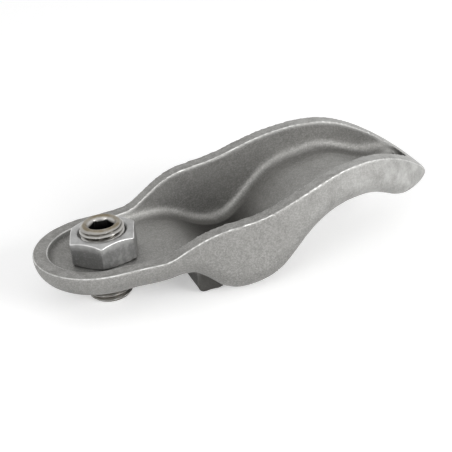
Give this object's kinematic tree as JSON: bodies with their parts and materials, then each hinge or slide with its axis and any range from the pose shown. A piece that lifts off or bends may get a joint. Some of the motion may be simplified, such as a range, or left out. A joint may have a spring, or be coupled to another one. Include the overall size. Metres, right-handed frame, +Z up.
{
  "type": "rocker arm",
  "caption": "Channel-section rocker arm with a fulcrum seat under its belly, a curved nose, and an adjusting screw with a lock nut in its flat end",
  "frame": {"origin": "crown of the saddle under the belly, where the arm rests on its fulcrum", "axes": "+X towards the nose, +Y across the arm along the fulcrum, +Z up along the adjusting screw"},
  "size_m": [0.1135, 0.0456, 0.0285],
  "materials": {
    "arm_steel": "sand-blasted forging with rubbed rim edges",
    "nut_zinc": "dull zinc",
    "screw_steel": "machined, slightly browned"
  },
  "bodies": {
    "arm": {"rocker_arm": "arm_steel"},
    "screw": {"adjusting_screw": "screw_steel"},
    "nut": {"lock_nut": "nut_zinc"}
  },
  "joints": [
    {"name": "screw_turn", "type": "hinge", "parent": "arm", "child": "screw", "pos_m": [-0.033, 0, 0.0093], "axis": [0, 0, 1], "range_deg": [-720, 720]},
    {"name": "nut_turn", "type": "hinge", "parent": "arm", "child": "nut", "pos_m": [-0.033, 0, 0.0093], "axis": [0, 0, 1], "range_deg": [0, 360]}
  ]
}
